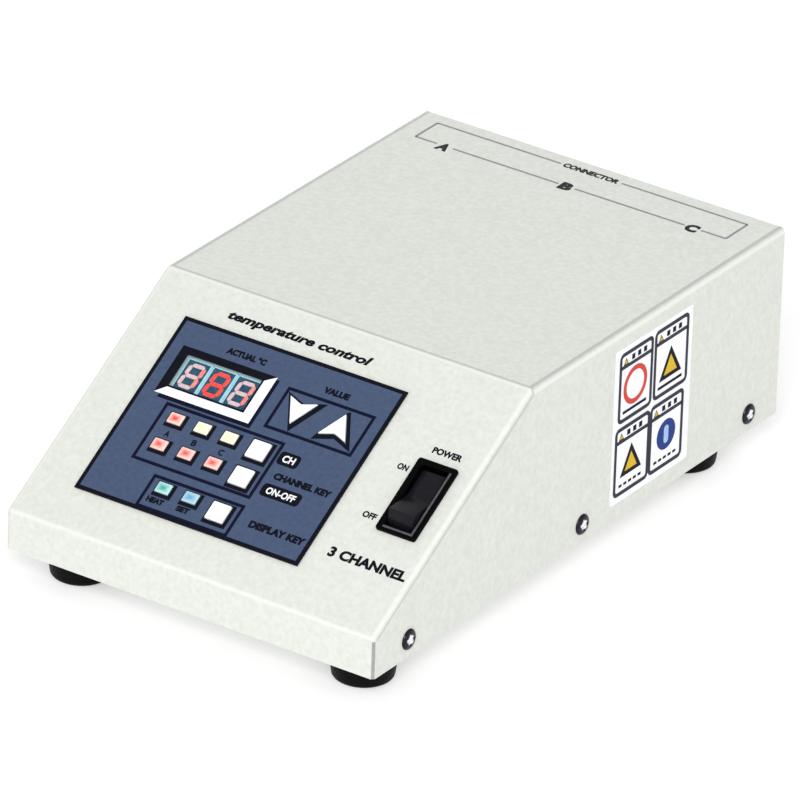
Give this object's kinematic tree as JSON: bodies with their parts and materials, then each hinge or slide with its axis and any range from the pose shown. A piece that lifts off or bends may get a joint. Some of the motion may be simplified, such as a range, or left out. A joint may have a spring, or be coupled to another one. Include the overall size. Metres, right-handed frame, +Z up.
{
  "type": "heater controller",
  "caption": "Sloped-front sheet-metal desk console that controls external heaters, with a printed key panel, digit display, rocker switch and rear sockets.",
  "frame": {"origin": "centre of the whole object's footprint, on the surface that the feet stand on", "axes": "+Z up, front lip and sloped panel facing -Y, rear sockets facing +Y, power switch on the +X side of the panel"},
  "size_m": [0.1548, 0.248, 0.083],
  "materials": {
    "cover_paint": "satin off-white baked enamel with a fine orange-peel texture on bent steel sheet",
    "tray_paint": "satin off-white baked enamel",
    "panel_paint": "satin off-white baked enamel",
    "overlay_film": "matt printed polyester film, slate blue",
    "window_acrylic": "clear tinted acrylic pane",
    "digit_plastic": "pale moulded seven-segment module",
    "lamp_red": "lit red lens",
    "lamp_pale": "pale diffused lens",
    "lamp_pink": "pale red diffused lens",
    "lamp_green": "pale green diffused lens",
    "lamp_blue": "pale blue diffused lens",
    "key_plastic": "satin white moulded key",
    "board_laminate": "green solder-masked glass laminate",
    "spacer_nickel": "nickel-plated hexagon spacer",
    "cable_vinyl": "grey vinyl ribbon",
    "switch_plastic": "glossy black moulded nylon",
    "rocker_plastic": "glossy black moulded nylon",
    "foot_rubber": "matt black moulded rubber",
    "screw_steel": "bright nickel-plated pan-head screw",
    "connector_nickel": "satin nickel-plated turned shell",
    "connector_insulator": "black moulded insert",
    "inlet_plastic": "black moulded thermoplastic",
    "pin_metal": "plated brass pins on a moulded block",
    "fuse_glass": "glass tube fuse",
    "core_iron": "varnished steel laminations",
    "coil_tape": "yellow polyester tape over the winding",
    "sink_aluminium": "mill-finish extrusion",
    "triac_epoxy": "black moulded epoxy with its metal tab"
  },
  "bodies": {
    "case": {"cover": "cover_paint", "base_tray": "tray_paint", "rear_panel": "panel_paint", "control_overlay": "overlay_film", "display_window": "window_acrylic", "digit_module_1": "digit_plastic", "digit_module_2": "digit_plastic", "digit_module_3": "digit_plastic", "channel_lamp_1": "lamp_red", "channel_lamp_2": "lamp_pale", "channel_lamp_3": "lamp_pale", "output_lamp_1": "lamp_pink", "output_lamp_2": "lamp_pink", "output_lamp_3": "lamp_pink", "mode_lamp_1": "lamp_green", "mode_lamp_2": "lamp_blue", "control_board": "board_laminate", "power_board": "board_laminate", "board_spacer_1": "spacer_nickel", "board_spacer_2": "spacer_nickel", "board_spacer_3": "spacer_nickel", "board_spacer_4": "spacer_nickel", "ribbon_cable": "cable_vinyl", "switch_housing": "switch_plastic", "foot_front_left": "foot_rubber", "foot_front_right": "foot_rubber", "foot_rear_left": "foot_rubber", "foot_rear_right": "foot_rubber", "side_screw_left_1": "screw_steel", "side_screw_left_2": "screw_steel", "side_screw_left_3": "screw_steel", "side_screw_right_1": "screw_steel", "side_screw_right_2": "screw_steel", "side_screw_right_3": "screw_steel", "inlet_screw_1": "screw_steel", "inlet_screw_2": "screw_steel", "connector_shell_1": "connector_nickel", "connector_shell_2": "connector_nickel", "connector_shell_3": "connector_nickel", "connector_insert_1": "connector_insulator", "connector_insert_2": "connector_insulator", "connector_insert_3": "connector_insulator", "inlet_housing": "inlet_plastic", "fuse_holder": "inlet_plastic", "inlet_pin_block": "pin_metal", "transformer_core": "core_iron", "transformer_coil": "coil_tape", "heat_sink": "sink_aluminium", "triac_1": "triac_epoxy", "triac_2": "triac_epoxy", "triac_3": "triac_epoxy"},
    "channel_key": {"channel_key": "key_plastic"},
    "output_key": {"output_key": "key_plastic"},
    "mode_key": {"mode_key": "key_plastic"},
    "down_key": {"down_key": "key_plastic"},
    "up_key": {"up_key": "key_plastic"},
    "rocker": {"rocker": "rocker_plastic"},
    "fuse": {"glass_fuse": "fuse_glass"},
    "fuse_cap": {"fuse_cap": "inlet_plastic"}
  },
  "joints": [
    {"name": "channel_key_press", "type": "slide", "parent": "case", "child": "channel_key", "axis": [0, 0.5304, -0.8477], "range_m": [0, 0.0005], "stiffness_N_per_m": 2000, "springref_m": -0.0001},
    {"name": "output_key_press", "type": "slide", "parent": "case", "child": "output_key", "axis": [0, 0.5304, -0.8477], "range_m": [0, 0.0005], "stiffness_N_per_m": 2000, "springref_m": -0.0001},
    {"name": "mode_key_press", "type": "slide", "parent": "case", "child": "mode_key", "axis": [0, 0.5304, -0.8477], "range_m": [0, 0.0005], "stiffness_N_per_m": 2000, "springref_m": -0.0001},
    {"name": "down_key_press", "type": "slide", "parent": "case", "child": "down_key", "axis": [0, 0.5304, -0.8477], "range_m": [0, 0.0005], "stiffness_N_per_m": 2000, "springref_m": -0.0001},
    {"name": "up_key_press", "type": "slide", "parent": "case", "child": "up_key", "axis": [0, 0.5304, -0.8477], "range_m": [0, 0.0005], "stiffness_N_per_m": 2000, "springref_m": -0.0001},
    {"name": "rocker_tilt", "type": "hinge", "parent": "case", "child": "rocker", "pos_m": [0.0602, -0.07697, 0.05171], "axis": [1, 0, 0], "range_deg": [0, 30]},
    {"name": "fuse_pull", "type": "slide", "parent": "case", "child": "fuse", "axis": [0, 1, 0], "range_m": [0, 0.03]},
    {"name": "fuse_cap_turn", "type": "hinge", "parent": "fuse", "child": "fuse_cap", "pos_m": [-0.038, 0.116, 0.0305], "axis": [0, 1, 0], "range_deg": [0, 90]}
  ]
}
